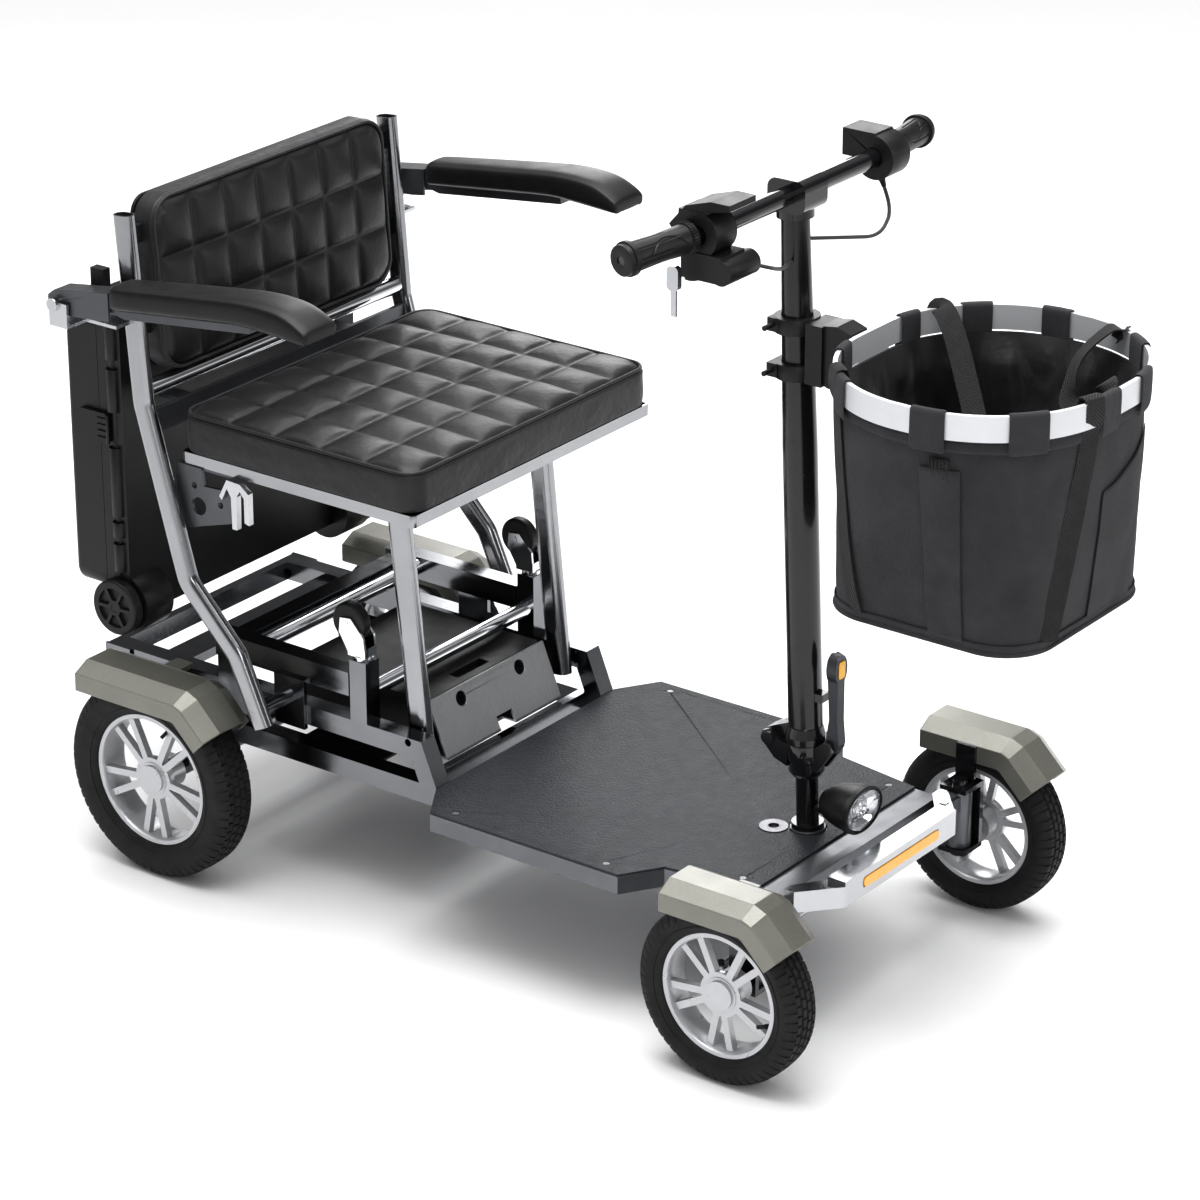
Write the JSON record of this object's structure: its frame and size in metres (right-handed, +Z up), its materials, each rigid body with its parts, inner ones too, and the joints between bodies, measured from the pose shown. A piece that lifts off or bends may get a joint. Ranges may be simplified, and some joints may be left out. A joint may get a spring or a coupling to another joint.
{
  "type": "mobility scooter",
  "caption": "Folding four-wheel mobility scooter with quilted seat, flip-up armrests, fold-down steering column, front fabric basket and rear tow case.",
  "frame": {"origin": "on the floor under the middle of the outline", "axes": "+Z up, the scooter faces -Y, +X is the rider's left, the length runs along Y"},
  "size_m": [0.64, 1.318, 0.984],
  "materials": {
    "front_tyre_left": "matte",
    "front_tyre_right": "matte",
    "rear_tyre_left": "matte",
    "rear_tyre_right": "matte",
    "front_rim_left": "satin",
    "front_rim_right": "satin",
    "rear_rim_left": "satin",
    "rear_rim_right": "satin",
    "front_fender_left": "satin metallic",
    "front_fender_right": "satin metallic",
    "rear_fenders": "satin metallic",
    "knuckle_left": "gloss",
    "knuckle_right": "gloss",
    "tie_rod": "satin",
    "deck_frame": "satin",
    "deck_mat": "grained",
    "deck_fasteners": "satin",
    "bumper": "satin",
    "bumper_reflector": "clear",
    "side_frame_left": "polished dark",
    "side_frame_right": "polished dark",
    "cross_members": "polished dark",
    "chrome_tubes": "mirror",
    "battery_pack": "matte",
    "battery_panel": "satin",
    "seat_frame_tubes": "polished dark",
    "seat_brackets": "satin",
    "silver_brackets": "satin",
    "seat_pan": "satin",
    "seat_cushion": "soft sheen",
    "back_cushion": "soft sheen",
    "back_board": "matte",
    "arm_channel_left": "satin",
    "arm_channel_right": "satin",
    "arm_pad_left": "soft moulded",
    "arm_pad_right": "soft moulded",
    "caster_fork_left": "polished",
    "caster_fork_right": "polished",
    "caster_wheel_left": "matte",
    "caster_wheel_right": "matte",
    "case_front_shell": "fine grain",
    "case_lid": "fine grain",
    "case_latch": "satin",
    "case_wheel_left": "matte",
    "case_wheel_right": "matte",
    "column_foot": "gloss",
    "fold_lever": "satin",
    "headlight_housing": "satin",
    "headlight_lens": "clear",
    "column_tube": "satin gloss",
    "handlebar": "gloss",
    "grip_left": "soft",
    "throttle_grip": "soft",
    "control_right": "satin",
    "control_left": "satin",
    "key": "satin",
    "control_cables": "sheathed",
    "basket_holder": "satin",
    "basket_rim": "satin",
    "basket_bag": "woven"
  },
  "bodies": {
    "chassis": {"side_frame_left": "side_frame_left", "side_frame_right": "side_frame_right", "cross_members": "cross_members", "chrome_tubes": "chrome_tubes", "battery_pack": "battery_pack", "battery_panel": "battery_panel", "deck_frame": "deck_frame", "deck_mat": "deck_mat", "deck_fasteners": "deck_fasteners", "bumper": "bumper", "bumper_reflector": "bumper_reflector", "rear_fenders": "rear_fenders", "seat_frame_tubes": "seat_frame_tubes", "seat_brackets": "seat_brackets", "silver_brackets": "silver_brackets", "seat_pan": "seat_pan", "seat_cushion": "seat_cushion", "back_cushion": "back_cushion", "back_board": "back_board", "case_front_shell": "case_front_shell"},
    "rear_wheel_left": {"rear_rim_left": "rear_rim_left", "rear_tyre_left": "rear_tyre_left"},
    "rear_wheel_right": {"rear_rim_right": "rear_rim_right", "rear_tyre_right": "rear_tyre_right"},
    "front_wheel_left": {"front_rim_left": "front_rim_left", "front_tyre_left": "front_tyre_left"},
    "front_wheel_right": {"front_rim_right": "front_rim_right", "front_tyre_right": "front_tyre_right"},
    "knuckle_left": {"knuckle_left": "knuckle_left", "front_fender_left": "front_fender_left"},
    "knuckle_right": {"knuckle_right": "knuckle_right", "front_fender_right": "front_fender_right"},
    "tie_rod": {"tie_rod": "tie_rod"},
    "column_foot": {"column_foot": "column_foot", "headlight_housing": "headlight_housing", "headlight_lens": "headlight_lens"},
    "fold_lever": {"fold_lever": "fold_lever"},
    "column_upper": {"column_tube": "column_tube", "handlebar": "handlebar", "grip_left": "grip_left", "control_right": "control_right", "control_left": "control_left", "control_cables": "control_cables", "basket_holder": "basket_holder", "key": "key"},
    "throttle": {"throttle_grip": "throttle_grip"},
    "basket": {"basket_rim": "basket_rim", "basket_bag": "basket_bag"},
    "armrest_left": {"arm_channel_left": "arm_channel_left", "arm_pad_left": "arm_pad_left"},
    "armrest_right": {"arm_channel_right": "arm_channel_right", "arm_pad_right": "arm_pad_right"},
    "caster_left": {"caster_fork_left": "caster_fork_left"},
    "caster_right": {"caster_fork_right": "caster_fork_right"},
    "caster_wheel_left": {"caster_wheel_left": "caster_wheel_left"},
    "caster_wheel_right": {"caster_wheel_right": "caster_wheel_right"},
    "case_lid": {"case_lid": "case_lid"},
    "case_latch": {"case_latch": "case_latch"},
    "case_wheel_left": {"case_wheel_left": "case_wheel_left"},
    "case_wheel_right": {"case_wheel_right": "case_wheel_right"}
  },
  "joints": [
    {"name": "column_steer", "type": "hinge", "parent": "chassis", "child": "column_foot", "pos_m": [0, -0.277, 0.1732], "axis": [0, 0.0447, 0.999], "range_deg": [-25, 25]},
    {"name": "knuckle_left_steer", "type": "hinge", "parent": "chassis", "child": "knuckle_left", "pos_m": [0.212, -0.35, 0.108], "axis": [0, 0, 1], "range_deg": [-25, 25]},
    {"name": "knuckle_right_steer", "type": "hinge", "parent": "chassis", "child": "knuckle_right", "pos_m": [-0.212, -0.35, 0.108], "axis": [0, 0, 1], "range_deg": [-25, 25]},
    {"name": "tie_rod_pivot", "type": "hinge", "parent": "knuckle_right", "child": "tie_rod", "pos_m": [-0.212, -0.305, 0.102], "axis": [0, 0, 1], "range_deg": [-25, 25]},
    {"name": "front_wheel_left_spin", "type": "hinge", "parent": "knuckle_left", "child": "front_wheel_left", "pos_m": [0.265, -0.35, 0.108], "axis": [1, 0, 0], "continuous": true},
    {"name": "front_wheel_right_spin", "type": "hinge", "parent": "knuckle_right", "child": "front_wheel_right", "pos_m": [-0.265, -0.35, 0.108], "axis": [1, 0, 0], "continuous": true},
    {"name": "rear_wheel_left_spin", "type": "hinge", "parent": "chassis", "child": "rear_wheel_left", "pos_m": [0.252, 0.496, 0.127], "axis": [1, 0, 0], "continuous": true},
    {"name": "rear_wheel_right_spin", "type": "hinge", "parent": "chassis", "child": "rear_wheel_right", "pos_m": [-0.252, 0.496, 0.127], "axis": [1, 0, 0], "continuous": true},
    {"name": "column_fold", "type": "hinge", "parent": "column_foot", "child": "column_upper", "pos_m": [0, -0.232, 0.292], "axis": [-1, 0, 0], "range_deg": [0, 30]},
    {"name": "fold_lever_turn", "type": "hinge", "parent": "column_foot", "child": "fold_lever", "pos_m": [0, -0.307, 0.295], "axis": [1, 0, 0], "range_deg": [0, 100]},
    {"name": "throttle_twist", "type": "hinge", "parent": "column_upper", "child": "throttle", "pos_m": [-0.2, -0.23788, 0.94212], "axis": [-0.979, 0.1988, -0.0459], "range_deg": [0, 55], "stiffness_Nm_per_rad": 0.08},
    {"name": "basket_lift", "type": "slide", "parent": "column_upper", "child": "basket", "axis": [0, 0, 1], "range_m": [0, 0.06]},
    {"name": "armrest_left_flip", "type": "hinge", "parent": "chassis", "child": "armrest_left", "pos_m": [0.29, 0.58, 0.728], "axis": [-1, 0, 0], "range_deg": [0, 85]},
    {"name": "armrest_right_flip", "type": "hinge", "parent": "chassis", "child": "armrest_right", "pos_m": [-0.29, 0.58, 0.728], "axis": [-1, 0, 0], "range_deg": [0, 85]},
    {"name": "caster_left_swivel", "type": "hinge", "parent": "chassis", "child": "caster_left", "pos_m": [0.1625, 0.2475, 0.32], "axis": [0, 0, 1], "range_deg": [-90, 90]},
    {"name": "caster_left_spin", "type": "hinge", "parent": "caster_left", "child": "caster_wheel_left", "pos_m": [0.1625, 0.265, 0.358], "axis": [1, 0, 0], "continuous": true},
    {"name": "caster_right_swivel", "type": "hinge", "parent": "chassis", "child": "caster_right", "pos_m": [-0.1625, 0.2475, 0.32], "axis": [0, 0, 1], "range_deg": [-90, 90]},
    {"name": "caster_right_spin", "type": "hinge", "parent": "caster_right", "child": "caster_wheel_right", "pos_m": [-0.1625, 0.265, 0.358], "axis": [1, 0, 0], "continuous": true},
    {"name": "case_lid_open", "type": "hinge", "parent": "chassis", "child": "case_lid", "pos_m": [0.221, 0.605, 0.5], "axis": [0, 0, -1], "range_deg": [0, 95]},
    {"name": "case_latch_open", "type": "hinge", "parent": "chassis", "child": "case_latch", "pos_m": [-0.2212, 0.5875, 0.543], "axis": [0, 0, 1], "range_deg": [0, 95]},
    {"name": "case_wheel_left_spin", "type": "hinge", "parent": "chassis", "child": "case_wheel_left", "pos_m": [0.223, 0.582, 0.316], "axis": [1, 0, 0], "continuous": true},
    {"name": "case_wheel_right_spin", "type": "hinge", "parent": "chassis", "child": "case_wheel_right", "pos_m": [-0.223, 0.582, 0.316], "axis": [1, 0, 0], "continuous": true}
  ],
  "couplings": [
    {"joint": "knuckle_left_steer", "follows": "column_steer", "ratio": 1},
    {"joint": "knuckle_right_steer", "follows": "column_steer", "ratio": 1},
    {"joint": "tie_rod_pivot", "follows": "column_steer", "ratio": -1}
  ]
}
